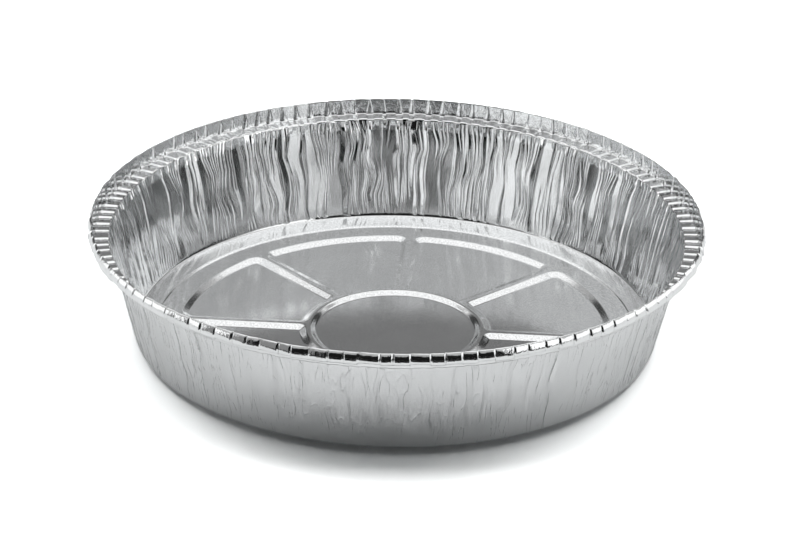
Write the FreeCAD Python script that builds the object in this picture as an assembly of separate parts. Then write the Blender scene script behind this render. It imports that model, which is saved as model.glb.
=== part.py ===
# Round foil pie tin, pressed from one disc of aluminium foil.
# Millimetres, +Z up, origin on the axis at the surface that the tin stands on.

import FreeCAD, Part
import math
import os

from FreeCAD import Vector

# Foil
foil_thickness = 0.08

# Wall, ledge and upright flange
crease_radius = 98.6
crease_height = 2.7
ledge_height = 41.7
ledge_width = 5.5
wall_lean = 13.2
flange_height = 6.2
flange_lean = 7.0

# Hem rolled outwards and down over the flange
hem_bulge = 1.4
hem_shoulder_drop = 1.5
hem_drop = 4.1
hem_lip_height = 1.0
hem_lip_inset = 0.7
hem_tuck_width = 0.5
hem_tuck_rise = 0.35

# Pleats of the wall, ledge, flange and hem
pleat_count = 120
pleat_swing = 0.36
pleat_lift = 0.26
pleat_fade_height = 6.5

# Plain margin of the floor, inside the crease
margin_width = 7.2
margin_fall = 1.05
step_width = 0.7
step_fall = 0.4

# Flat land between the margin's step and the panels
land_width = 8.1

# Sunken disc in the middle and the flat ring around it
disc_radius = 32.2
disc_slope_width = 1.8
hub_ring_width = 1.8

# Sunken wedge panels and the spokes between them
panel_count = 8
panel_slope_width = 2.3
panel_outer_corner = 4.6
panel_inner_corner = 3.1
spoke_width = 2.4
spoke_azimuth = -4.0

# How far a round outline may stray from its arc, between its points
outline_sag = 0.08

# Levels, radii and angles that follow from the sizes above
floor_height = crease_height - margin_fall - step_fall
panel_outer_radius = crease_radius - margin_width - step_width - land_width
panel_inner_radius = disc_radius + hub_ring_width
full_turn = 360.0
pleat_pitch = full_turn / pleat_count
panel_pitch = full_turn / panel_count
axis = Vector(0, 0, 1)
centre = Vector(0, 0, 0)


def section(radius, height):
    """A point of the section, as radius and height."""
    return Vector(radius, 0, height)


def swung(point, azimuth):
    """A point or direction of the section, turned about the axis to an azimuth."""
    angle = math.radians(azimuth)
    return Vector(point.x * math.cos(angle), point.x * math.sin(angle), point.z)


def lean_run(height, lean):
    """How far a line that leans out by an angle moves over a height."""
    return height * math.tan(math.radians(lean))


# The section is walked outwards: floor, margin, wall, ledge, flange, hem

def margin_path():
    """From the flat floor over its step and margin to the crease under the wall."""
    crease = section(crease_radius, crease_height)
    step_top = crease - section(margin_width, margin_fall)
    step_foot = step_top - section(step_width, step_fall)
    return [step_foot, step_top, crease]


def pleated_path():
    """From the height where the pleats are full to the edge tucked in under the hem."""
    foot = section(crease_radius + lean_run(pleat_fade_height, wall_lean),
                   crease_height + pleat_fade_height)
    ledge_inner = section(crease_radius + lean_run(ledge_height - crease_height, wall_lean),
                          ledge_height)
    ledge_outer = ledge_inner + section(ledge_width, 0)
    rim = ledge_outer + section(lean_run(flange_height, flange_lean), flange_height)
    shoulder = rim + section(hem_bulge, -hem_shoulder_drop)
    hem_foot = rim + section(hem_bulge, hem_lip_height - hem_drop)
    lip = rim + section(hem_bulge - hem_lip_inset, -hem_drop)
    tuck = lip + section(-hem_tuck_width, hem_tuck_rise)
    return [foot, ledge_inner, ledge_outer, rim, shoulder, hem_foot, lip, tuck]


def pleat_side(path, sign):
    """The path on a ridge (+1), swung out and up, or in a valley (-1), in and down.

    Both move by a share of the radius, which keeps each side of a pleat flat.
    """
    outer = path[-1].x
    swing = sign * pleat_swing / outer
    lift = sign * pleat_lift / outer
    return [section(p.x * (1 + swing), p.z + p.x * lift) for p in path]


# The second skin of the foil lies one thickness to the left of the first

def left_of(start, end):
    """Unit direction in the section to the left of a run, on the food side."""
    run = (end - start).normalize()
    return section(-run.z, run.x)


def meeting_point(first, second):
    """Where two lines of the section meet, each given as a point and a direction."""
    start, run = first
    other_start, other_run = second
    gap = other_start - start
    turn = run.x * other_run.z - run.z * other_run.x
    reach = (gap.x * other_run.z - gap.z * other_run.x) / turn
    return start + run * reach


def moved_left(path, distances):
    """The path with each run moved to its left by its own distance."""
    lines = []
    for start, end, distance in zip(path, path[1:], distances):
        shift = left_of(start, end) * distance
        lines.append((start + shift, (end - start).normalize()))
    last_shift = left_of(path[-2], path[-1]) * distances[-1]
    corners = [meeting_point(a, b) for a, b in zip(lines, lines[1:])]
    return [lines[0][0]] + corners + [path[-1] + last_shift]


def skin_distances(ridge, valley):
    """Distances in the ridge's and the valley's own planes that leave the foil
    its full thickness square to the flat side of the pleat between them."""
    at_ridge = []
    at_valley = []
    half_pitch = pleat_pitch / 2
    for index in range(len(ridge) - 1):
        low = swung(ridge[index], half_pitch)
        high = swung(ridge[index + 1], half_pitch)
        across = swung(valley[index], 0) - low
        side_normal = (high - low).cross(across).normalize()
        ridge_left = swung(left_of(ridge[index], ridge[index + 1]), half_pitch)
        valley_left = left_of(valley[index], valley[index + 1])
        at_ridge.append(foil_thickness / abs(side_normal.dot(ridge_left)))
        at_valley.append(foil_thickness / abs(side_normal.dot(valley_left)))
    return at_ridge, at_valley


def facet(*corners):
    """A flat face through corners in order."""
    return Part.Face(Part.makePolygon(list(corners) + [corners[0]]))


def pleat_skin(margin, ridge, valley):
    """One skin of one pleat, from valley to valley, with the margin inside it."""
    here, middle, there = 0, pleat_pitch / 2, pleat_pitch
    faces = []
    for low, high in zip(margin, margin[1:]):
        faces.append(facet(swung(low, here), swung(low, there),
                           swung(high, there), swung(high, here)))
    crease = margin[-1]
    crest = swung(ridge[0], middle)
    faces.append(facet(swung(crease, here), swung(crease, there), crest))
    faces.append(facet(swung(crease, here), crest, swung(valley[0], here)))
    faces.append(facet(swung(crease, there), swung(valley[0], there), crest))
    for index in range(len(ridge) - 1):
        low, high = swung(ridge[index], middle), swung(ridge[index + 1], middle)
        for side in (here, there):
            faces.append(facet(swung(valley[index], side), low,
                               high, swung(valley[index + 1], side)))
    return faces


def pleat_edge(ridge, valley, inner_ridge, inner_valley):
    """The cut edge of the foil under the hem, along one pleat."""
    crest = swung(ridge, pleat_pitch / 2)
    inner_crest = swung(inner_ridge, pleat_pitch / 2)
    faces = []
    for side in (0, pleat_pitch):
        foot, inner_foot = swung(valley, side), swung(inner_valley, side)
        faces.append(facet(foot, crest, inner_crest))
        faces.append(facet(foot, inner_crest, inner_foot))
    return faces


# Floor outlines, as points in order around a sunken area

def round_stretch(arc_centre, edge_radius, inset, start, end, height):
    """Points along an arc about a centre, from one azimuth to another.

    The inset shortens the radius. The arc at the edge sets how many points there are,
    so that the edge and the foot of a slope have the same number.
    """
    step = 2 * math.degrees(math.acos(1 - outline_sag / edge_radius))
    count = math.ceil(abs(end - start) / step)
    spoke = section(edge_radius - inset, height)
    azimuths = [start + (end - start) * index / count for index in range(count + 1)]
    return [arc_centre + swung(spoke, azimuth) for azimuth in azimuths]


def corner_centre(reach, from_spoke):
    """Centre of a panel's corner, by its distance from the axis and from the spoke's
    middle line, and its azimuth from the panel's middle line."""
    along = math.sqrt(reach ** 2 - from_spoke ** 2)
    azimuth = math.degrees(math.atan2(from_spoke, along)) - panel_pitch / 2
    return swung(section(reach, 0), azimuth), azimuth


def panel_outline(inset, height):
    """Wedge with rounded corners between two spokes, about azimuth 0.

    The inset narrows it all round, from the edge of its slope to the foot.
    """
    side = panel_pitch / 2
    outer, outer_azimuth = corner_centre(panel_outer_radius - panel_outer_corner,
                                         spoke_width / 2 + panel_outer_corner)
    inner, inner_azimuth = corner_centre(panel_inner_radius + panel_inner_corner,
                                         spoke_width / 2 + panel_inner_corner)
    square = 90
    right_rim = round_stretch(outer, panel_outer_corner, inset,
                              -side - square, outer_azimuth, height)
    rim = round_stretch(centre, panel_outer_radius, inset,
                        outer_azimuth, -outer_azimuth, height)
    hub = round_stretch(centre, panel_inner_radius, -inset,
                        -inner_azimuth, inner_azimuth, height)
    right_hub = round_stretch(inner, panel_inner_corner, inset,
                              2 * square + inner_azimuth, 3 * square - side, height)
    left_rim = [mirrored(point) for point in reversed(right_rim)]
    left_hub = [mirrored(point) for point in reversed(right_hub)]
    return right_rim[:-1] + rim[:-1] + left_rim + left_hub[:-1] + hub[:-1] + right_hub


def mirrored(point):
    """The point on the other side of the panel's middle line."""
    return Vector(point.x, -point.y, point.z)


def disc_outline(inset, height):
    """Round edge of the middle disc, narrowed by the inset."""
    return round_stretch(centre, disc_radius, inset, 0, full_turn, height)[:-1]


def pocket(outline, slope_width):
    """A sunken area: its edge in the floor, its slopes and its flat bottom."""
    edge = outline(0, floor_height)
    foot = outline(slope_width, 0)
    faces = [facet(*foot)]
    for index in range(len(edge)):
        faces.append(facet(edge[index - 1], edge[index], foot[index], foot[index - 1]))
    return Part.makePolygon(edge + [edge[0]]), faces


def floor_skin(edge_point):
    """Flat floor with its panels and disc, out to a polygon through the pleats' valleys."""
    panel_edge, panel_faces = pocket(panel_outline, panel_slope_width)
    disc_edge, faces = pocket(disc_outline, disc_slope_width)
    openings = [disc_edge]
    for index in range(panel_count):
        azimuth = spoke_azimuth + (index + 0.5) * panel_pitch
        openings.append(panel_edge.rotated(centre, axis, azimuth))
        faces += [face.rotated(centre, axis, azimuth) for face in panel_faces]
    corners = [swung(edge_point, index * pleat_pitch) for index in range(pleat_count + 1)]
    edge = Part.makePolygon(corners)
    return [Part.makeFace([edge] + openings, "Part::FaceMakerBullseye")] + faces


def foil_tin():
    """The whole tin as one solid sheet, closed from its two skins."""
    floor_centre = section(0, floor_height)
    margin = margin_path()
    ridge = pleat_side(pleated_path(), 1)
    valley = pleat_side(pleated_path(), -1)
    at_ridge, at_valley = skin_distances(ridge, valley)
    inner_ridge = moved_left(ridge, at_ridge)
    inner_valley = moved_left(valley, at_valley)
    base = [floor_centre] + margin + [valley[0]]
    inner_margin = moved_left(base, [foil_thickness] * (len(base) - 1))[1:-1]

    pleat = pleat_skin(margin, ridge, valley)
    pleat += pleat_skin(inner_margin, inner_ridge, inner_valley)
    pleat += pleat_edge(ridge[-1], valley[-1], inner_ridge[-1], inner_valley[-1])
    faces = []
    for index in range(pleat_count):
        faces += [face.rotated(centre, axis, index * pleat_pitch) for face in pleat]

    lift = Vector(0, 0, foil_thickness)
    faces += floor_skin(margin[0])
    faces += [face.translated(lift) for face in floor_skin(inner_margin[0] - lift)]
    return Part.Solid(Part.Shell(faces))


os.makedirs("parts", exist_ok=True)
tin = foil_tin()
print("valid", tin.isValid(), "closed", tin.isClosed(), "faces", len(tin.Faces))
print("volume", round(tin.Volume, 1), "mm3, box", tin.BoundBox)
tin.exportStep("parts/foil_tin.step")
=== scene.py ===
"""The looks of a round foil pie tin, pressed from one disc of aluminium foil."""

import math
import random

import bpy
import numpy as np
from bpy.props import FloatProperty, FloatVectorProperty, IntProperty, PointerProperty
from mathutils import Matrix, Vector, noise
from mathutils.geometry import tessellate_polygon


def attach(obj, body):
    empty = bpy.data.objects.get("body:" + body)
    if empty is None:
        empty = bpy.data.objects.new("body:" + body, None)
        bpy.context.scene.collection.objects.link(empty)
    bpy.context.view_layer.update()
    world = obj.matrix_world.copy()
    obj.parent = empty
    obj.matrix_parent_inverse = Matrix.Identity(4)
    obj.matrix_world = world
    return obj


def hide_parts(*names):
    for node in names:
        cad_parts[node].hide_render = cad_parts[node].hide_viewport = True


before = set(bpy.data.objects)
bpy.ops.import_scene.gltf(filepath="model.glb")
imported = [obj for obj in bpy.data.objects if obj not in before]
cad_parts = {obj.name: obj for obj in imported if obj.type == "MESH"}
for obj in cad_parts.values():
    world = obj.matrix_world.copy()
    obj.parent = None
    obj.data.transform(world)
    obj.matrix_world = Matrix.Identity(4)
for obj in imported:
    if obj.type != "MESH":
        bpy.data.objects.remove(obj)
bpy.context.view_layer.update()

bl_info = {
    "name": "Foil pie tin",
    "version": (1, 0, 0),
    "blender": (4, 5, 0),
    "location": "3D View > Sidebar > Foil tin",
    "description": "A pressed foil tin with a pleated wall, and the studio it stands in",
    "category": "Add Mesh",
}

MM = 0.001
PIECE = "pressed_foil"
TIN_NODE = "foil_tin"

# how finely the sheet is divided
FLOOR_COLUMNS = 336
WALL_COLUMNS = 2240
WALL_STRIPS = 10


def length(name, description, millimetres):
    """A length property in metres, with its default given in millimetres."""
    return FloatProperty(name=name, description=description, default=millimetres * MM,
                         unit="LENGTH", precision=5)


def angle(name, description, degrees):
    """An angle property, with its default given in degrees."""
    return FloatProperty(name=name, description=description, default=math.radians(degrees),
                         subtype="ANGLE")


def number(name, description, default):
    """A plain number property."""
    return FloatProperty(name=name, description=description, default=default)


def tint(name, description, default):
    """A colour property."""
    return FloatVectorProperty(name=name, description=description, subtype="COLOR",
                               default=default, size=3, min=0.0, max=1.0)


def share(name, description, default):
    """A property from 0 to 1."""
    return FloatProperty(name=name, description=description, default=default,
                         min=0.0, max=1.0, subtype="FACTOR")


class TinSection(bpy.types.PropertyGroup):
    """Sizes of the tin's section."""

    foil_thickness: length("Foil thickness", "Gauge of the foil", 0.08)
    crease_radius: length("Crease radius", "Radius where the wall meets the floor", 98.6)
    crease_height: length("Crease height", "Height of that crease over the table", 2.7)
    crease_round: length("Crease round", "How far the fold at the crease reaches", 0.45)
    ledge_height: length("Ledge height", "Height of the level ledge", 41.7)
    ledge_width: length("Ledge width", "Width of the level ledge", 5.5)
    wall_lean: angle("Wall lean", "Angle of the wall from upright", 13.2)
    flange_height: length("Flange height", "Height of the upright rim", 6.2)
    flange_lean: angle("Flange lean", "Angle of the rim from upright", 7.0)
    hem_bulge: length("Hem bulge", "How far the rolled hem stands out past the rim", 1.4)
    hem_drop: length("Hem drop", "How far the hem comes down outside the rim", 4.1)
    margin_width: length("Margin width", "Width of the plain margin inside the crease", 7.2)
    margin_fall: length("Margin fall", "How far the margin falls inwards", 1.05)
    step_width: length("Step width", "Width of the small step inside the margin", 0.7)
    step_fall: length("Step fall", "Depth of that step", 0.4)
    step_round: length("Step round", "How far the folds at the step reach", 0.36)


class TinFloor(bpy.types.PropertyGroup):
    """Sizes of the sunken panels and the disc."""

    land_width: length("Land width", "Flat ring outside the panels", 8.1)
    disc_radius: length("Disc radius", "Radius of the sunken disc", 32.2)
    disc_slope: length("Disc slope", "Width of the slope into the disc", 1.8)
    hub_ring: length("Hub ring", "Flat ring between the disc and the panels", 1.8)
    panel_count: IntProperty(name="Panels", description="Number of wedge panels", default=8)
    panel_slope: length("Panel slope", "Width of the slope into a panel", 2.3)
    panel_outer_corner: length("Outer corner", "Corner radius at the rim side", 4.6)
    panel_inner_corner: length("Inner corner", "Corner radius at the hub side", 3.1)
    spoke_width: length("Spoke width", "Width of the flat top of a spoke", 2.4)
    spoke_azimuth: angle("Spoke azimuth", "Direction of one spoke", -4.0)
    edge_round: length("Edge round", "Reach of the rounding at a slope's edges", 0.45)


class TinPleats(bpy.types.PropertyGroup):
    """Pleats and creases of the sheet."""

    count: IntProperty(name="Pleats", description="Number of pleats round the rim", default=120)
    fold_depth: length("Fold depth", "Depth of a pleat's fold", 0.6)
    fold_lift: length("Fold lift", "How far a fold dips on the ledge", 0.65)
    cushion: length("Cushion", "How far each flat of the ledge and the hem bows out", 0.26)
    fold_reach: length("Fold reach", "Width of a fold's flank", 0.2)
    stray: share("Stray", "How unevenly the folds are spaced", 0.16)
    crease_depth: length("Crease depth", "Depth of the wall's long creases", 0.5)
    fan_depth: length("Fan depth", "Depth of the short creases that fan out", 0.27)
    fine_depth: length("Fine depth", "Depth of the finest creases", 0.008)
    swell: length("Swell", "Slow unevenness of the wall", 0.06)
    hem_stray: length("Hem stray", "How uneven the hem's lower edge is", 0.42)
    fade_height: length("Fade height", "Height over which the creases fade in", 2.4)
    seed: IntProperty(name="Seed", description="Choice of the uneven creases", default=11)


class FoilFinish(bpy.types.PropertyGroup):
    """Colours and finish of the foil."""

    colour: tint("Foil colour", "Colour of the bare foil", (0.875, 0.885, 0.89))
    wall_roughness: share("Wall roughness", "Blur of reflections in the wall", 0.09)
    outer_roughness: share("Outer roughness", "Blur of reflections outside the wall", 0.19)
    floor_roughness: share("Floor roughness", "Blur of reflections in the floor", 0.11)
    rim_roughness: share("Rim roughness", "Blur of reflections in the rim", 0.1)


class StudioLook(bpy.types.PropertyGroup):
    """Camera, lamps and floor of the studio."""

    camera_distance: length("Camera distance", "From the middle of the tin", 1250.0)
    camera_rise: angle("Camera rise", "Angle above the table", 26.55)
    camera_roll: angle("Camera roll", "Tilt of the camera", 1.02)
    camera_lens: number("Camera lens", "Focal length in millimetres", 147.7)
    aim: FloatVectorProperty(name="Aim", description="Point the camera looks at",
                             subtype="TRANSLATION", default=(0.0015, 0.0, 0.02145), size=3)
    floor_colour: tint("Floor colour", "Colour of the table", (0.86, 0.87, 0.87))
    floor_seen: number("Floor seen", "Lift of the table where the camera sees it", 2.4)
    floor_mirrored: number("Floor mirrored", "Lift of the table where foil mirrors it", 1.06)
    lamp_power: number("Lamp power", "Power that each lamp has a share of", 14.0)


# Section of the sheet

def run_of(height, lean):
    """How far a line that leans by an angle moves out over a height."""
    return height * math.tan(lean)


def key_points(size):
    """Corners of the section, as radius and height, from the floor to the hem's edge."""
    crease = np.array([size.crease_radius, size.crease_height])
    step_top = crease - [size.margin_width, size.margin_fall]
    step_foot = step_top - [size.step_width, size.step_fall]
    rise = size.ledge_height - size.crease_height
    ledge_inner = crease + [run_of(rise, size.wall_lean), rise]
    ledge_outer = ledge_inner + [size.ledge_width, 0.0]
    rim = ledge_outer + [run_of(size.flange_height, size.flange_lean), size.flange_height]
    return {"crease": crease, "step_top": step_top, "step_foot": step_foot,
            "ledge_inner": ledge_inner, "ledge_outer": ledge_outer, "rim": rim}


def towards(start, end, distance):
    """The point at a distance from one section point towards another."""
    run = end - start
    return start + run / np.linalg.norm(run) * distance


class Ring:
    """One ring of the sheet: its section point and how strongly it is pleated.

    folds, creases and hem are the strengths of the rim's folds, of the wall's creases and of the
    uneven edge. spread is how far a fold opens out, cushion how far the flats bow, and flank how
    wide a fold's sides are.
    """

    def __init__(self, point, folds=0.0, creases=0.0, hem=0.0, spread=0.0, wall=False,
                 cushion=0.0, flank=1.0):
        self.point = np.array(point, float)
        self.folds = folds
        self.creases = creases
        self.hem = hem
        self.spread = spread
        self.wall = wall
        self.cushion = cushion
        self.flank = flank


# the lines that hold a rounded corner stand off by this many times its reach
HELD_OFF = 1.7


def rounded(before, corner, after, reach, supports=(True, True)):
    """Three points of a corner rounded over a reach, with held lines either side of it."""
    start, end = towards(corner, before, reach), towards(corner, after, reach)
    points = [start * (1 - along) ** 2 + corner * 2 * along * (1 - along) + end * along ** 2
              for along in (0, 0.5, 1)]
    if supports[0]:
        points.insert(0, towards(corner, before, reach * HELD_OFF))
    if supports[1]:
        points.append(towards(corner, after, reach * HELD_OFF))
    return points


def margin_rings(size):
    """Rings of the floor's edge: land, step, margin and the fold under the wall."""
    key = key_points(size)
    crease, top, foot = key["crease"], key["step_top"], key["step_foot"]
    land = foot - [size.step_width, 0.0]
    points = rounded(land, foot, top, size.step_round, (True, False))
    points += rounded(foot, top, crease, size.step_round, (False, True))
    points.append((top + crease) / 2)
    points += rounded(top, crease, key["ledge_inner"], size.crease_round, (True, False))
    return [Ring(point) for point in points]


# where the wall's first and last rings stand, from the crease and from the ledge
WALL_FOOT = 1.6 * MM
WALL_HEAD = 0.75 * MM


def wall_rings(size, pleats):
    """Rings of the pleated wall, from just above the crease to just below the ledge."""
    key = key_points(size)
    start = towards(key["crease"], key["ledge_inner"], WALL_FOOT)
    end = towards(key["ledge_inner"], key["crease"], WALL_HEAD)
    rings = []
    for index in range(WALL_STRIPS + 1):
        point = start + (end - start) * index / WALL_STRIPS
        fade = smooth((point[1] - size.crease_height) / pleats.fade_height)
        rings.append(Ring(point, creases=fade, wall=True))
    return rings


LEDGE_INNER_ROUND = 0.35 * MM
LEDGE_OUTER_ROUND = 0.4 * MM
# how far below the rim's crest the last two rings of the flange lie
BELOW_CREST = (0.5 * MM, 0.12 * MM)
# how far in from its two ends the ledge counts as level
LEDGE_ENDS = 0.2 * MM
# how far the flats bow, on the level ledge and elsewhere
LEVEL_BOW, OTHER_BOW = 1.0, 0.25
# how wide a fold's sides are, on the hem and above it
HEM_FLANK, RIM_FLANK = 1.6, 1.1
HEM_SECTION = (
    # share of the bulge and of the drop, strength of the folds, unevenness of the edge
    (0.07, 0.0, 0.5, 0.05),
    (0.2, -0.05, 0.6, 0.1),
    (0.48, -0.15, 0.7, 0.15),
    (0.8, -0.4, 0.9, 0.2),
    (0.97, -0.66, 1.0, 0.4),
    (1.0, -0.84, 1.0, 0.7),
    (0.88, -0.95, 0.9, 1.0),
    (0.6, -1.0, 0.8, 1.0),
)


def rim_rings(size):
    """Rings of the ledge, the flange and the hem rolled down outside it."""
    key = key_points(size)
    inner, outer, rim = key["ledge_inner"], key["ledge_outer"], key["rim"]
    # each ring: a section point, how deep its folds go and how uneven its edge is
    plan = [(point, 0.4, 0.0) for point in
            rounded(key["crease"], inner, outer, LEDGE_INNER_ROUND, (False, True))]
    plan += [(point, 0.5, 0.0) for point in rounded(inner, outer, rim, LEDGE_OUTER_ROUND)]
    plan += [(towards(rim, outer, below), 0.4, 0.0) for below in BELOW_CREST]
    plan += [(rim + [size.hem_bulge * out, size.hem_drop * down], fold, edge)
             for out, down, fold, edge in HEM_SECTION]
    rings = []
    for point, fold, edge in plan:
        spread = 0.0 if edge else 1 - smooth((point[1] - outer[1]) / (rim[1] - outer[1]))
        level = outer[0] - LEDGE_ENDS > point[0] > inner[0] + LEDGE_ENDS
        rings.append(Ring(point, folds=fold, hem=edge, spread=spread,
                          cushion=LEVEL_BOW if level else OTHER_BOW,
                          flank=HEM_FLANK if edge else RIM_FLANK))
    return rings


def section_normals(rings):
    """Unit normals on the food side, in the section, averaged at each ring."""
    points = np.array([ring.point for ring in rings])
    runs = np.diff(points, axis=0)
    runs /= np.linalg.norm(runs, axis=1)[:, None]
    left = np.stack([-runs[:, 1], runs[:, 0]], axis=1)
    normals = np.vstack([left[:1], left[:-1] + left[1:], left[-1:]])
    return normals / np.linalg.norm(normals, axis=1)[:, None]


# Uneven folds and creases

def smooth(value):
    """Eased step from 0 to 1."""
    value = max(0.0, min(1.0, value))
    return value * value * (3 - 2 * value)


def of_flat(values, index, along):
    """A value of the flat beside a fold."""
    return values[index] if along > 0 else values[index - 1]


# distance from a fold's foot to the line that holds it, and the most that a fold skews
FOLD_HELD = 0.14 * MM
FOLD_SKEW = 0.3 * MM
# widest opening of a fold on the ledge, either way, as a share of the flat beside it
WIDEST_OPENING = 0.27


class Folds:
    """The pleats of the rim: where each fold is, how deep, and how each flat lies."""

    def __init__(self, pleats, draw):
        count = pleats.count
        self.pleats = pleats
        pitch = 2 * math.pi / count
        self.place = [(i + draw.uniform(-1, 1) * pleats.stray) * pitch for i in range(count)]
        self.depth = [draw.uniform(0.6, 1.15) for _ in range(count)]
        self.width = [draw.uniform(0.5, 1.6) for _ in range(count)]
        self.skew = [draw.uniform(-1, 1) for _ in range(count)]
        self.tilt = [draw.uniform(-1, 1) for _ in range(count)]
        self.set_in = [draw.uniform(-1, 1) for _ in range(count)]
        self.drop = [draw.uniform(-1, 1) for _ in range(count)]
        self.crown = [draw.uniform(-0.4, 0.4) for _ in range(count)]
        self.opening = [draw.uniform(0.4, 1.4) for _ in range(count)]

    def after(self, index):
        """Angle from a fold to the next one."""
        count = len(self.place)
        return (self.place[(index + 1) % count] - self.place[index % count]) % (2 * math.pi)

    def ring(self, spread, flank, radius):
        """The columns of one ring: angle, depth in the fold, fold and share along its flat."""
        columns = []
        reach = self.pleats.fold_reach
        for index, place in enumerate(self.place):
            before, after = self.after(index - 1), self.after(index)
            opening = min(self.opening[index] * MM,
                          WIDEST_OPENING * min(before, after) * radius)
            bottom = (0.5 * reach * self.width[index] + opening * spread) / radius
            crown = self.crown[index] * spread
            foot = bottom + reach * flank / radius
            held = foot + FOLD_HELD / radius
            middle = place + self.skew[index] * FOLD_SKEW * spread / radius
            for gap, depth in ((-held, 0.0), (-foot, 0.0), (-bottom, 1.0), (bottom, 1.0),
                               (foot, 0.0), (held, 0.0), (0.5 * after, crown)):
                along = gap / after if gap > 0 else gap / before
                columns.append((middle + gap, depth * self.depth[index], index, along))
        return columns


def drum_noise(around, radius, height, offset, spacing, stretch):
    """Noise from -1 to 1 that closes on itself round the tin."""
    scale = radius / spacing
    return noise.noise(Vector((math.cos(around) * scale, math.sin(around) * scale,
                               (height + offset) / (spacing * stretch))))


# slow noises of the wall: where in the noise, spacing, stretch along the wall, amount
SWAYS = ((0.0, 10 * MM, 1.2, 2.2 * MM), (3.0, 4.5 * MM, 1.6, 0.6 * MM))
SWELL = (5.0, 7 * MM, 3.0)
FINE = (2.0, 1.6 * MM, 5.0)
# share of the wall over which a crease's end fades
END_FADE = 0.09
# columns of a bay past which it is drawn together more, and from which it has more fans
BROAD_BAY = 26
WIDEST_BAY = 40


class Creases:
    """The wall's creases. Its columns lean and gather, so that each crease runs along one."""

    def __init__(self, pleats, folds, draw):
        self.pleats = pleats
        self.columns = WALL_COLUMNS
        self.step = 2 * math.pi / self.columns
        self.lines = []
        self.bays = []
        starts, index = [], 0
        while index < len(folds.place):
            starts.append(round(folds.place[index] / self.step))
            index += draw.choice((1, 1, 2, 2, 3))
        for left, right in zip(starts, starts[1:] + [starts[0] + self.columns]):
            self.fill_bay(left, right, draw)

    def line(self, draw, column, top, bottom, width, depth):
        """One crease: its column, ends as shares of the way down, width, side and depth."""
        self.lines.append((round(column), top, bottom, width, draw.choice((-1, 1)), depth))

    def fill_bay(self, left, right, draw):
        """A long crease at the left of a bay, and the short creases that fan out in it."""
        span = right - left
        deep = self.pleats.crease_depth
        self.line(draw, left, -1, draw.uniform(0.7, 1.2), draw.randint(4, 7),
                  deep * draw.uniform(0.8, 1.3))
        upper, lower = draw.uniform(0.28, 0.5), draw.uniform(0.45, 0.62)
        pull = draw.uniform(0.5, 0.75) if span > BROAD_BAY else 0.4
        self.bays.append((left, span, upper, lower, pull))
        for top, bottom in ((-1, upper), (lower, 0.97)):
            if draw.random() < (0.66 if span < WIDEST_BAY else 0.9):
                gap = draw.uniform(5.0, 7.0)
                count = max(2, round(span * draw.uniform(0.5, 0.8) / gap))
                for place in range(count):
                    column = left + span / 2 + (place - (count - 1) / 2) * gap
                    self.line(draw, column, top, bottom, 2,
                              self.pleats.fan_depth * draw.uniform(0.6, 1.3))
            else:
                self.line(draw, left + span * draw.uniform(0.35, 0.65), top - 0.1, bottom + 0.15,
                          draw.randint(3, 5), deep * draw.uniform(0.4, 0.8))
        for _ in range(round(span / 5)):
            top = draw.uniform(-0.15, 0.85)
            self.line(draw, draw.uniform(left + 2, right - 2), top, top + draw.uniform(0.15, 0.45),
                      draw.choice((1, 2, 3)), self.pleats.fan_depth * draw.uniform(0.2, 0.7))

    def gathered(self, down):
        """Angle of each column where the bays are drawn together towards their fans."""
        angles = np.arange(self.columns) * self.step
        for left, span, upper, lower, pull in self.bays:
            pull *= smooth(down / upper) * smooth((1 - down) / (1 - lower))
            for column in range(left, left + span):
                along = (column - left) / span
                angles[column % self.columns] += (pull * math.sin(2 * math.pi * along)
                                                  / (2 * math.pi) * span * self.step)
        return angles

    def ring(self, down, radius, height):
        """Angle of each column and how far it stands in, at a share of the way down."""
        angles = self.gathered(down)
        inward = np.zeros(self.columns)
        calm = smooth(down * 5) * smooth((1 - down) * 5)
        for column, around in enumerate(angles):
            sway = sum(amount * drum_noise(around, radius, height, *kind)
                       for *kind, amount in SWAYS)
            slow = drum_noise(around, radius, height, *SWELL)
            fine = drum_noise(around, radius, height, *FINE)
            inward[column] = self.pleats.swell * slow + self.pleats.fine_depth * fine
            angles[column] += sway * calm / radius
        for column, top, bottom, width, side, depth in self.lines:
            tall = depth * smooth((down - top) / END_FADE) * smooth((bottom - down) / END_FADE)
            tall *= 0.85 + 0.5 * noise.noise(Vector((column * 0.37, down * 6, 1.5)))
            for away in range(width):
                inward[(column - side * away) % self.columns] += tall * (1 - away / width)
        return angles, inward


# Mesh of one skin, ring by ring

WALL, FLOOR, RIM, OUTSIDE = range(4)


class Sheet:
    """Points of one skin of the foil, the way to the other skin, and the faces."""

    def __init__(self):
        self.points = []
        self.normals = []
        self.faces = []
        self.parts = []

    def add(self, point, normal):
        """One point, with the direction of the other skin from it. Gives its number."""
        self.points.append(point)
        self.normals.append(normal)
        return len(self.points) - 1

    def face(self, corners, part):
        """One face of the sheet and the part of the tin that it belongs to."""
        self.faces.append(tuple(corners))
        self.parts.append(part)

    def band(self, low, high, part):
        """Quads between two rings with the same columns."""
        count = len(low)
        for index in range(count):
            after = (index + 1) % count
            self.face((low[index], high[index], high[after], low[after]), part)

    def zip(self, low, low_angles, high, high_angles, part):
        """Triangles between two rings whose columns differ."""
        low_steps = list(low_angles) + [low_angles[0] + 2 * math.pi]
        high_steps = list(high_angles) + [high_angles[0] + 2 * math.pi]
        low_index = high_index = 0
        while low_index < len(low) or high_index < len(high):
            low_now = low[low_index % len(low)]
            high_now = high[high_index % len(high)]
            low_next = low_steps[low_index + 1] if low_index < len(low) else math.inf
            high_next = high_steps[high_index + 1] if high_index < len(high) else math.inf
            if low_next <= high_next:
                low_index += 1
                self.face((low_now, high_now, low[low_index % len(low)]), part)
            else:
                high_index += 1
                self.face((low_now, high_now, high[high_index % len(high)]), part)


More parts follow.
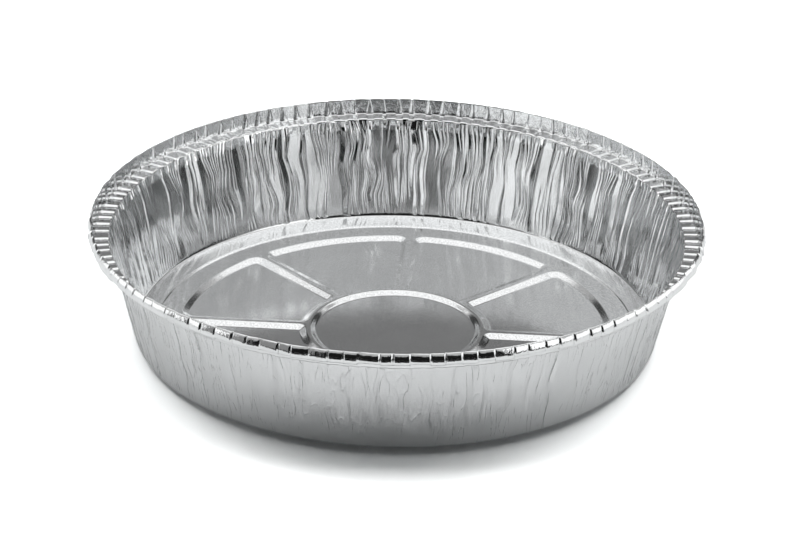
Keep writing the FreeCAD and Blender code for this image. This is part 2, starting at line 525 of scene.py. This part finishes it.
def ring_points(sheet, point, normal, angles, out, up):
    """Adds one ring of the sheet, moved out and up by an amount at each column."""
    indices = []
    for around, outwards, upwards in zip(angles, out, up):
        radius, height = point[0] + outwards, point[1] + upwards
        cosine, sine = math.cos(around), math.sin(around)
        indices.append(sheet.add((radius * cosine, radius * sine, height),
                                 (normal[0] * cosine, normal[0] * sine, normal[1])))
    return indices


# share of a fold's depth by which the flats stand out
LIFTED = 0.3
# how far a flat stands in or out, and how far it turns on the hem and above it
FLAT_OFFSET = 0.12 * MM
HEM_TURN = 0.8 * MM
RIM_TURN = 0.22 * MM


def rim_ring(ring, normal, folds, pleats, radius):
    """Angles of a ring of the rim and how far its folds and flats stand out and up."""
    angles, out, up = [], [], []
    for around, depth, index, along in folds.ring(ring.spread, ring.flank, radius):
        share_along = along % 1.0
        lean = of_flat(folds.tilt, index, along) * (share_along - 0.5)
        set_in = of_flat(folds.set_in, index, along) * FLAT_OFFSET
        fold = (LIFTED - depth) * ring.folds
        bow = 0.5 - (1 - 2 * min(share_along, 1 - share_along)) ** 2
        bow *= ring.cushion * pleats.cushion
        flat = 1 - min(1.0, depth)
        turn = HEM_TURN if ring.hem else RIM_TURN
        outwards = pleats.fold_depth * fold + flat * (set_in + lean * turn)
        upwards = pleats.fold_lift * fold + normal[1] * bow
        if ring.hem:
            drop = of_flat(folds.drop, index, along) + 0.5 * lean - 0.7 * depth
            upwards = ring.hem * drop * pleats.hem_stray
            outwards -= pleats.fold_depth * LIFTED * ring.folds
        angles.append(around)
        out.append(outwards + normal[0] * bow)
        up.append(upwards)
    return angles, out, up


def wall_ring(ring, normal, creases, pleats, size):
    """Angles of a ring of the wall and how far its creases stand out and up."""
    down = (size.ledge_height - ring.point[1]) / (size.ledge_height - size.crease_height)
    angles, inward = creases.ring(down, size.crease_radius, ring.point[1])
    inward = (inward - LIFTED * pleats.crease_depth) * ring.creases
    return angles, normal[0] * inward, normal[1] * inward


# Floor outlines

# steps round the disc, along a panel's outer and inner side, and round its corners
DISC_STEPS = 72
OUTER_STEPS = 16
INNER_STEPS = 8
OUTER_CORNER_STEPS = 7
INNER_CORNER_STEPS = 6


def round_run(centre, radius, start, end, count):
    """Points along an arc, both ends included."""
    return [np.array([centre[0] + radius * math.cos(start + (end - start) * i / count),
                      centre[1] + radius * math.sin(start + (end - start) * i / count)])
            for i in range(count + 1)]


def corner_at(reach, from_spoke, half):
    """Centre of a panel's corner and its azimuth from the panel's middle."""
    azimuth = math.asin(from_spoke / reach) - half
    return (reach * math.cos(azimuth), reach * math.sin(azimuth)), azimuth


def panel_outline(floor, outer_radius, inner_radius, inset):
    """A wedge with round corners about azimuth 0, narrowed by the inset."""
    half = math.pi / floor.panel_count
    quarter = math.pi / 2
    spoke = floor.spoke_width / 2
    outer_corner, inner_corner = floor.panel_outer_corner, floor.panel_inner_corner
    outer, outer_azimuth = corner_at(outer_radius - outer_corner, spoke + outer_corner, half)
    inner, inner_azimuth = corner_at(inner_radius + inner_corner, spoke + inner_corner, half)
    right_rim = round_run(outer, outer_corner - inset, -half - quarter, outer_azimuth,
                          OUTER_CORNER_STEPS)
    rim = round_run((0, 0), outer_radius - inset, outer_azimuth, -outer_azimuth, OUTER_STEPS)
    hub = round_run((0, 0), inner_radius + inset, -inner_azimuth, inner_azimuth, INNER_STEPS)
    right_hub = round_run(inner, inner_corner - inset, 2 * quarter + inner_azimuth,
                          3 * quarter - half, INNER_CORNER_STEPS)
    left_rim = [point * [1, -1] for point in reversed(right_rim)]
    left_hub = [point * [1, -1] for point in reversed(right_hub)]
    return right_rim[:-1] + rim[:-1] + left_rim + left_hub[:-1] + hub[:-1] + right_hub


def turned(points, azimuth):
    """Points of the floor turned about the middle."""
    cosine, sine = math.cos(azimuth), math.sin(azimuth)
    return [np.array([p[0] * cosine - p[1] * sine, p[0] * sine + p[1] * cosine])
            for p in points]


# how far past a rounded edge of a slope the line that holds it lies
SLOPE_HELD = 0.3 * MM


def slope_profile(width, depth, edge_round):
    """Insets and depths of the rings down a slope with rounded edges."""
    mid = edge_round * 0.25
    grade = depth / width
    return [
        (-edge_round - SLOPE_HELD, 0.0),
        (-edge_round, 0.0),
        (0.0, grade * mid),
        (edge_round, grade * edge_round),
        (width - edge_round, depth - grade * edge_round),
        (width, depth - grade * mid),
        (width + edge_round, depth),
        (width + edge_round + SLOPE_HELD, depth),
    ]


def pocket(sheet, outline, azimuth, width, floor_height, edge_round):
    """A sunken area of the floor. Gives the ring of vertices at its outer edge."""
    rings = []
    for inset, depth in slope_profile(width, floor_height, edge_round):
        height = floor_height - depth
        ring = [sheet.add((point[0], point[1], height), (0.0, 0.0, 1.0))
                for point in turned(outline(inset), azimuth)]
        rings.append(ring)
    for high, low in zip(rings, rings[1:]):
        sheet.band(low, high, FLOOR)
    sheet.face(rings[-1], FLOOR)
    return rings[0]


def floor_mesh(sheet, size, floor, edge_ring):
    """The flat floor with its panels and disc, inside a ring of vertices."""
    floor_height = key_points(size)["step_foot"][1]
    outer = size.crease_radius - size.margin_width - size.step_width - floor.land_width
    inner = floor.disc_radius + floor.hub_ring
    holes = [pocket(sheet, lambda inset: round_run((0, 0), floor.disc_radius - inset, 0,
                                                   2 * math.pi, DISC_STEPS)[:-1],
                    0.0, floor.disc_slope, floor_height, floor.edge_round)]
    pitch = 2 * math.pi / floor.panel_count
    for index in range(floor.panel_count):
        azimuth = floor.spoke_azimuth + (index + 0.5) * pitch
        holes.append(pocket(sheet, lambda inset: panel_outline(floor, outer, inner, inset),
                            azimuth, floor.panel_slope, floor_height, floor.edge_round))
    loops = [edge_ring] + holes
    order = [index for loop in loops for index in loop]
    outlines = [[Vector(sheet.points[index][:2]).to_3d() for index in loop] for loop in loops]
    for triangle in tessellate_polygon(outlines):
        corners = [order[index] for index in triangle]
        a, b, c = (Vector(sheet.points[index]) for index in corners)
        if (b - a).cross(c - a).z < 0:
            corners.reverse()
        sheet.face(corners, FLOOR)


def tin_sheet(size, floor, pleats):
    """The outer side of the foil as one sheet, and the ring of its tucked edge."""
    sheet = Sheet()
    draw = random.Random(pleats.seed)
    folds = Folds(pleats, draw)
    creases = Creases(pleats, folds, draw)
    margin = margin_rings(size)
    wall = wall_rings(size, pleats)
    rings = margin + wall + rim_rings(size)
    normals = section_normals(rings)
    plain = np.arange(FLOOR_COLUMNS) * 2 * math.pi / FLOOR_COLUMNS
    built = []
    for index, (ring, normal) in enumerate(zip(rings, normals)):
        if index < len(margin):
            part, (angles, out, up) = FLOOR, (plain, 0 * plain, 0 * plain)
        elif ring.wall:
            part, (angles, out, up) = WALL, wall_ring(ring, normal, creases, pleats, size)
        else:
            part = RIM
            angles, out, up = rim_ring(ring, normal, folds, pleats, size.crease_radius)
        built.append((ring_points(sheet, ring.point, normal, angles, out, up), angles, part))
    for (low, low_angles, _), (high, high_angles, part) in zip(built, built[1:]):
        if len(low) == len(high):
            sheet.band(low, high, part)
        else:
            sheet.zip(low, low_angles, high, high_angles, part)
    floor_mesh(sheet, size, floor, built[0][0])
    return sheet, built[-1][0]


def foil_mesh(name, sheet, edge, thickness):
    """A closed mesh from a sheet: its food side, its other side and its cut edge.

    The points of the sheet are on its outer side.
    """
    outer = np.array(sheet.points)
    inner = outer + np.array(sheet.normals) * thickness
    count = len(outer)
    faces = [tuple(index + count for index in face) for face in sheet.faces]
    parts = list(sheet.parts)
    for face, part in zip(sheet.faces, sheet.parts):
        faces.append(tuple(reversed(face)))
        parts.append(OUTSIDE if part == WALL else part)
    for index, here in enumerate(edge):
        there = edge[(index + 1) % len(edge)]
        faces.append((here, there, there + count, here + count))
        parts.append(RIM)
    mesh = bpy.data.meshes.new(name)
    mesh.from_pydata(np.vstack([outer, inner]).tolist(), [], faces)
    mesh.polygons.foreach_set("material_index", parts)
    mesh.polygons.foreach_set("use_smooth", [True] * len(faces))
    mesh.update()
    if mesh.validate():
        raise RuntimeError("The foil's mesh has broken faces")
    return mesh


# Materials

def set_inputs(node, **values):
    """Sets a node's sockets by name, with spaces written as underscores."""
    for name, value in values.items():
        node.inputs[name.replace("_", " ")].default_value = value


def add_node(tree, kind, place, **settings):
    """A new node at a place, with its settings."""
    node = tree.nodes.new(kind)
    node.location = place
    for name, value in settings.items():
        setattr(node, name, value)
    return node


def feed(tree, node, *values):
    """Feeds a node's sockets in order, with numbers or with other nodes' outputs."""
    for socket, value in zip(node.inputs, values):
        if isinstance(value, bpy.types.NodeSocket):
            tree.links.new(value, socket)
        else:
            socket.default_value = value
    return node.outputs[0]


def empty_tree(owner):
    """The emptied node tree of a new material or world."""
    owner.use_nodes = True
    owner.node_tree.nodes.clear()
    return owner.node_tree


def maths(tree, place, operation, *values, clamp=False):
    """The output of a math node fed by numbers or by other nodes' outputs."""
    node = add_node(tree, "ShaderNodeMath", place, operation=operation, use_clamp=clamp)
    return feed(tree, node, *values)


def noise_map(tree, place, vector, scale=None, **settings):
    """The output of a noise texture, with its scale given by a node or as a setting."""
    node = add_node(tree, "ShaderNodeTexNoise", place, noise_dimensions="3D")
    set_inputs(node, **settings)
    tree.links.new(vector, node.inputs["Vector"])
    if scale:
        tree.links.new(scale, node.inputs["Scale"])
    return node.outputs[0]


SURFACE_INPUTS = {
    # sizes and heights are in millimetres, the rest are plain numbers
    "Grain Size": 0.6, "Grain Height": 0.1,
    "Crease Size": 2.0, "Crease Height": 0.1, "Crease Stretch": 0.15,
    "Roughness": 0.2, "Roughness Spread": 0.08, "Speckle": 0.0,
    "Hair Size": 2.5, "Hair Height": 0.0, "Hair Width": 0.05,
}
PER_METRE = 1000.0


def foil_surface_group():
    """Shared effect: grain, fine creases and hairlines of pressed foil."""
    group = bpy.data.node_groups.new("Foil surface", "ShaderNodeTree")
    for name, default in SURFACE_INPUTS.items():
        socket = group.interface.new_socket(name=name, in_out="INPUT",
                                            socket_type="NodeSocketFloat")
        socket.default_value = default
    for name in ("Height", "Roughness", "Mottle"):
        group.interface.new_socket(name=name, in_out="OUTPUT", socket_type="NodeSocketFloat")
    given = add_node(group, "NodeGroupInput", (-900, 0)).outputs
    result = add_node(group, "NodeGroupOutput", (900, 0)).inputs
    place = add_node(group, "ShaderNodeTexCoord", (-900, 300)).outputs["Object"]
    flatten = feed(group, add_node(group, "ShaderNodeCombineXYZ", (-700, -200)),
                   1.0, 1.0, given["Crease Stretch"])
    stretched = feed(group, add_node(group, "ShaderNodeVectorMath", (-500, 100),
                                     operation="MULTIPLY"), place, flatten)
    crease_scale, grain_scale, hair_scale = [
        maths(group, (-500, height), "DIVIDE", PER_METRE, given[name])
        for height, name in ((-100, "Crease Size"), (-300, "Grain Size"), (400, "Hair Size"))]
    creases = noise_map(group, (-300, 100), stretched, crease_scale,
                        Detail=3.0, Roughness=0.55, Distortion=0.4)
    grain = noise_map(group, (-300, -200), place, grain_scale, Detail=2.0, Roughness=0.6)
    hair = noise_map(group, (-300, 400), stretched, hair_scale, Detail=0.0, Distortion=0.0)
    patches = noise_map(group, (-300, -500), place, Scale=60.0, Detail=4.0, Roughness=0.6)

    # a thin crest wherever the stretched noise crosses its middle, in patches
    off = maths(group, (50, 400), "ABSOLUTE", maths(group, (-100, 400), "SUBTRACT", hair, 0.5))
    part = maths(group, (200, 400), "DIVIDE", off, given["Hair Width"])
    crest = maths(group, (350, 400), "SUBTRACT", 1.0, part, clamp=True)
    hair_height = maths(group, (500, 400), "MULTIPLY", crest, given["Hair Height"])
    where = feed(group, add_node(group, "ShaderNodeMapRange", (350, 200)), patches, 0.44, 0.56)

    crease_height = maths(group, (0, 100), "MULTIPLY", creases, given["Crease Height"])
    grain_height = maths(group, (0, -150), "MULTIPLY", grain, given["Grain Height"])
    height = maths(group, (250, 50), "ADD", crease_height, grain_height)
    height = maths(group, (600, 300), "MULTIPLY_ADD", hair_height, where, height)
    centred = maths(group, (0, -450), "SUBTRACT", patches, 0.5)
    rough = maths(group, (250, -400), "MULTIPLY_ADD", centred, given["Roughness Spread"],
                  given["Roughness"])
    grain_part = maths(group, (0, -700), "SUBTRACT", grain, 0.5)
    mottle = maths(group, (250, -600), "MULTIPLY_ADD", grain_part, given["Speckle"], patches)
    for name, value in (("Height", height), ("Roughness", rough), ("Mottle", mottle)):
        group.links.new(value, result[name])
    return group


# the lightest patches of foil, as a multiple of its colour
LIGHTEST = 1.03


def foil_material(name, group, colour, roughness, shade, **surface):
    """Bare foil: bright metal with the shared surface at its own values."""
    material = bpy.data.materials.new(name)
    tree = empty_tree(material)
    output = add_node(tree, "ShaderNodeOutputMaterial", (900, 0))
    metal = add_node(tree, "ShaderNodeBsdfPrincipled", (600, 0))
    set_inputs(metal, Metallic=1.0)
    effect = add_node(tree, "ShaderNodeGroup", (-300, 0), node_tree=group)
    set_inputs(effect, Roughness=roughness, **surface)
    mix = add_node(tree, "ShaderNodeMix", (300, 200), data_type="RGBA")
    mix.inputs["A"].default_value = (*[shade * part for part in colour], 1.0)
    mix.inputs["B"].default_value = (*[min(1.0, LIGHTEST * part) for part in colour], 1.0)
    lift = add_node(tree, "ShaderNodeBump", (300, -250))
    set_inputs(lift, Strength=1.0, Distance=MM)
    link = tree.links.new
    link(effect.outputs["Mottle"], mix.inputs["Factor"])
    link(mix.outputs["Result"], metal.inputs["Base Color"])
    link(effect.outputs["Roughness"], metal.inputs["Roughness"])
    link(effect.outputs["Height"], lift.inputs["Height"])
    link(lift.outputs["Normal"], metal.inputs["Normal"])
    link(metal.outputs["BSDF"], output.inputs["Surface"])
    return material


FINISHES = (
    # in the order of the parts: name, roughness setting, shade, values of the shared surface
    ("Pleated foil", "wall_roughness", 0.95,
     dict(Crease_Size=0.9, Crease_Height=0.02, Crease_Stretch=0.12, Grain_Height=0.003)),
    ("Rolled foil", "floor_roughness", 0.86,
     dict(Crease_Size=8.0, Crease_Height=0.01, Crease_Stretch=1.0, Grain_Size=0.55,
          Grain_Height=0.012, Speckle=6.0)),
    ("Crimped foil", "rim_roughness", 0.95,
     dict(Crease_Size=1.6, Crease_Height=0.12, Crease_Stretch=0.6, Grain_Height=0.01)),
    ("Pleated foil outside", "outer_roughness", 0.88,
     dict(Crease_Size=1.6, Crease_Height=0.02, Crease_Stretch=0.05, Grain_Height=0.01,
          Hair_Size=2.2, Hair_Height=0.1, Hair_Width=0.04)),
)


# Operators

class TIN_OT_foil(bpy.types.Operator):
    """Builds the pressed foil tin and dresses it"""

    bl_idname = "foil_tin.sheet"
    bl_label = "Foil tin"

    def execute(self, context):
        scene = context.scene
        size, floor, pleats = scene.tin_section, scene.tin_floor, scene.tin_pleats
        finish = scene.foil_finish
        if PIECE in bpy.data.objects:
            raise RuntimeError("The foil is there already")
        sheet, edge = tin_sheet(size, floor, pleats)
        mesh = foil_mesh(PIECE, sheet, edge, size.foil_thickness)
        tin = bpy.data.objects.new(PIECE, mesh)
        scene.collection.objects.link(tin)
        group = foil_surface_group()
        colour = tuple(finish.colour)
        for name, roughness, shade, surface in FINISHES:
            mesh.materials.append(foil_material(name, group, colour, getattr(finish, roughness),
                                                shade, **surface))
        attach(tin, "root")
        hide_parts(TIN_NODE)
        return {"FINISHED"}


# Studio

TABLE_HALF = 4.0
CARD_DISTANCE = 1.25
CEILING = 1.4
SENSOR_WIDTH = 36.0


def glow_card(name, corners, strength):
    """A studio card that shows in reflections but not to the camera."""
    mesh = bpy.data.meshes.new(name)
    mesh.from_pydata(corners, [], [tuple(range(len(corners)))])
    card = bpy.data.objects.new(name, mesh)
    bpy.context.scene.collection.objects.link(card)
    material = bpy.data.materials.new(name)
    tree = empty_tree(material)
    output = add_node(tree, "ShaderNodeOutputMaterial", (300, 0))
    glow = add_node(tree, "ShaderNodeEmission", (0, 0))
    set_inputs(glow, Color=(1, 1, 1, 1), Strength=strength)
    tree.links.new(glow.outputs[0], output.inputs["Surface"])
    mesh.materials.append(material)
    card.visible_camera = False
    card.visible_diffuse = False
    card.visible_shadow = False


def level_card(name, left, right, near, far, height, strength):
    """A card that lies level, set by its edges."""
    glow_card(name, [(left, far, height), (right, far, height), (right, near, height),
                     (left, near, height)], strength)


def standing_card(name, azimuth, width, low, high, strength):
    """A card that stands round the table, set by angles seen from the tin, in degrees."""
    middle = math.radians(azimuth)
    half = CARD_DISTANCE * math.tan(math.radians(width / 2))
    out = Vector((math.cos(middle), math.sin(middle), 0.0)) * CARD_DISTANCE
    side = Vector((-math.sin(middle), math.cos(middle), 0.0)) * half
    foot = Vector((0, 0, CARD_DISTANCE * math.tan(math.radians(low))))
    head = Vector((0, 0, CARD_DISTANCE * math.tan(math.radians(high))))
    glow_card(name, [out - side + foot, out + side + foot, out + side + head, out - side + head],
              strength)


def floor_material(colour, seen_boost, mirrored_boost):
    """Pale table, lifted where the camera or a reflection sees it. Its shadow stays."""
    material = bpy.data.materials.new("Pale table")
    tree = empty_tree(material)
    output = add_node(tree, "ShaderNodeOutputMaterial", (900, 0))
    matt = add_node(tree, "ShaderNodeBsdfDiffuse", (600, 0))
    path = add_node(tree, "ShaderNodeLightPath", (-300, 0)).outputs
    mirrored = maths(tree, (-50, -150), "MAXIMUM", path["Is Glossy Ray"],
                     path["Is Transmission Ray"])
    part = maths(tree, (100, -150), "MULTIPLY_ADD", mirrored, mirrored_boost - 1.0, 1.0)
    whole = maths(tree, (250, 0), "MULTIPLY_ADD", path["Is Camera Ray"], seen_boost - 1.0, part)
    lifted = add_node(tree, "ShaderNodeVectorMath", (420, 0), operation="SCALE")
    lifted.inputs[0].default_value = colour
    tree.links.new(whole, lifted.inputs["Scale"])
    tree.links.new(lifted.outputs["Vector"], matt.inputs["Color"])
    tree.links.new(matt.outputs[0], output.inputs["Surface"])
    return material


def area_lamp(name, place, size, power):
    """A large soft lamp that faces the tin and isn't mirrored in it."""
    light = bpy.data.lights.new(name, "AREA")
    light.shape = "RECTANGLE"
    light.size, light.size_y = size
    light.energy = power
    lamp = bpy.data.objects.new(name, light)
    lamp.location = place
    lamp.rotation_euler = (-Vector(place)).to_track_quat("-Z", "Y").to_euler()
    lamp.visible_glossy = False
    bpy.context.scene.collection.objects.link(lamp)


def studio_camera(look):
    """Camera at the photograph's viewing angle."""
    data = bpy.data.cameras.new("Camera")
    data.lens = look.camera_lens
    data.sensor_width = SENSOR_WIDTH
    data.sensor_fit = "HORIZONTAL"
    data.clip_start = 0.01
    camera = bpy.data.objects.new("Camera", data)
    place = Vector((0.0, -look.camera_distance * math.cos(look.camera_rise),
                    look.camera_distance * math.sin(look.camera_rise)))
    forward = (Vector(look.aim) - place).normalized()
    right = forward.cross(Vector((0, 0, 1))).normalized()
    up = right.cross(forward)
    cosine, sine = math.cos(look.camera_roll), math.sin(look.camera_roll)
    right, up = right * cosine + up * sine, up * cosine - right * sine
    rows = Matrix((right, up, -forward)).transposed().to_4x4()
    camera.matrix_world = Matrix.Translation(place) @ rows
    bpy.context.scene.collection.objects.link(camera)
    bpy.context.scene.camera = camera


# brightness of the world as light on the table
PLAIN_WORLD = 0.02


def studio_world():
    """White surroundings for whatever looks at them, with plain light."""
    world = bpy.data.worlds.new("Studio")
    tree = empty_tree(world)
    output = add_node(tree, "ShaderNodeOutputWorld", (600, 0))
    back = add_node(tree, "ShaderNodeBackground", (300, 0))
    path = add_node(tree, "ShaderNodeLightPath", (-400, 0)).outputs
    seen = maths(tree, (-200, 0), "MAXIMUM", path["Is Camera Ray"], path["Is Glossy Ray"])
    either = maths(tree, (-50, -100), "MAXIMUM", seen, path["Is Transmission Ray"])
    strength = add_node(tree, "ShaderNodeMapRange", (120, 0))
    set_inputs(strength, To_Min=PLAIN_WORLD, To_Max=1.0)
    set_inputs(back, Color=(1.0, 1.0, 1.0, 1.0))
    tree.links.new(either, strength.inputs["Value"])
    tree.links.new(strength.outputs[0], back.inputs["Strength"])
    tree.links.new(back.outputs[0], output.inputs["Surface"])
    bpy.context.scene.world = world


CARDS = (
    # name, azimuth, width, lowest and highest angle, strength
    ("back_card", 90, 28, 1, 42, 0.2),
    ("back_right_card", 64, 24, 1, 34, 0.05),
    ("back_left_card", 116, 24, 1, 34, 0.05),
    ("back_right_high_card", 64, 24, 34, 42, 0.45),
    ("back_left_high_card", 116, 24, 34, 42, 0.45),
    ("right_card", 5, 54, 1, 30, 1.2),
    ("right_dark_card", 42, 20, 1, 30, 0.1),
    ("right_high_card", 15, 74, 30, 42, 0.5),
    ("left_card", 175, 54, 1, 30, 1.2),
    ("left_dark_card", 138, 20, 1, 30, 0.1),
    ("left_high_card", 165, 74, 30, 42, 0.5),
    ("front_card", -90, 78, 1, 36, 0.01),
    ("front_high_card", -90, 78, 36, 48, 0.45),
    ("front_right_card", -36.5, 29, 1, 44, 1.25),
    ("front_left_card", -143.5, 29, 1, 44, 0.25),
)
LAMPS = (
    # name, place, size and share of the power
    ("Ceiling lamp", (0.0, -0.06, 1.3), (2.0, 0.56), 1.0),
    ("Left lamp", (-0.95, 0.6, 1.2), (0.6, 0.6), 0.42),
    ("Right lamp", (0.95, 0.6, 1.2), (0.6, 0.6), 0.42),
)
LEVEL_CARDS = (
    # name, left and right, near and far, height, strength
    ("ceiling_card", -0.95, 0.95, -0.5, 1.25, CEILING, 1.1),
    ("ceiling_right_card", 0.95, 1.9, -1.25, 1.25, CEILING, 0.45),
    ("ceiling_left_card", -1.9, -0.95, -1.25, 1.25, CEILING, 0.6),
    ("front_ceiling_card", -0.95, 0.95, -1.25, -0.5, CEILING, 0.5),
    ("front_table_card", -1.2, 1.2, -1.5, -0.3, MM, 0.01),
)


class TIN_OT_stage(bpy.types.Operator):
    """Sets up the table, lamps, cards and camera"""

    bl_idname = "foil_tin.stage"
    bl_label = "Studio"

    def execute(self, context):
        look = context.scene.studio_look
        corners = [(x * TABLE_HALF, y * TABLE_HALF, 0)
                   for x, y in ((-1, -1), (1, -1), (1, 1), (-1, 1))]
        mesh = bpy.data.meshes.new("table")
        mesh.from_pydata(corners, [], [(0, 1, 2, 3)])
        table = bpy.data.objects.new("table", mesh)
        mesh.materials.append(floor_material(tuple(look.floor_colour), look.floor_seen,
                                             look.floor_mirrored))
        context.scene.collection.objects.link(table)
        for name, place, size, part in LAMPS:
            area_lamp(name, place, size, look.lamp_power * part)
        for card in LEVEL_CARDS:
            level_card(*card)
        for card in CARDS:
            standing_card(*card)
        studio_world()
        studio_camera(look)
        context.scene.view_settings.view_transform = "Standard"
        if context.scene.camera is None:
            raise RuntimeError("The studio has no camera")
        return {"FINISHED"}


class TIN_PT_panel(bpy.types.Panel):
    """Lists the tin's sizes and the studio"""

    bl_label = "Foil tin"
    bl_idname = "TIN_PT_panel"
    bl_space_type = "VIEW_3D"
    bl_region_type = "UI"
    bl_category = "Foil tin"

    def draw(self, context):
        layout = self.layout
        for operator in OPERATORS:
            layout.operator(operator.bl_idname)
        for name, group in GROUPS.items():
            box = layout.box()
            box.label(text=group.__doc__)
            for setting in group.__annotations__:
                box.prop(getattr(context.scene, name), setting)


GROUPS = {
    "tin_section": TinSection,
    "tin_floor": TinFloor,
    "tin_pleats": TinPleats,
    "foil_finish": FoilFinish,
    "studio_look": StudioLook,
}
OPERATORS = (TIN_OT_foil, TIN_OT_stage)


def register():
    """Makes the settings, the operators and the panel known to Blender."""
    for group in GROUPS.values():
        bpy.utils.register_class(group)
    for name, group in GROUPS.items():
        setattr(bpy.types.Scene, name, PointerProperty(type=group))
    for operator in OPERATORS:
        bpy.utils.register_class(operator)
    bpy.utils.register_class(TIN_PT_panel)


def unregister():
    """Takes them out again, in the opposite order."""
    bpy.utils.unregister_class(TIN_PT_panel)
    for operator in reversed(OPERATORS):
        bpy.utils.unregister_class(operator)
    for name in GROUPS:
        delattr(bpy.types.Scene, name)
    for group in reversed(list(GROUPS.values())):
        bpy.utils.unregister_class(group)


def main():
    """Builds the tin and sets up the studio."""
    register()
    bpy.ops.foil_tin.sheet()
    bpy.ops.foil_tin.stage()


if __name__ == "__main__":
    main()
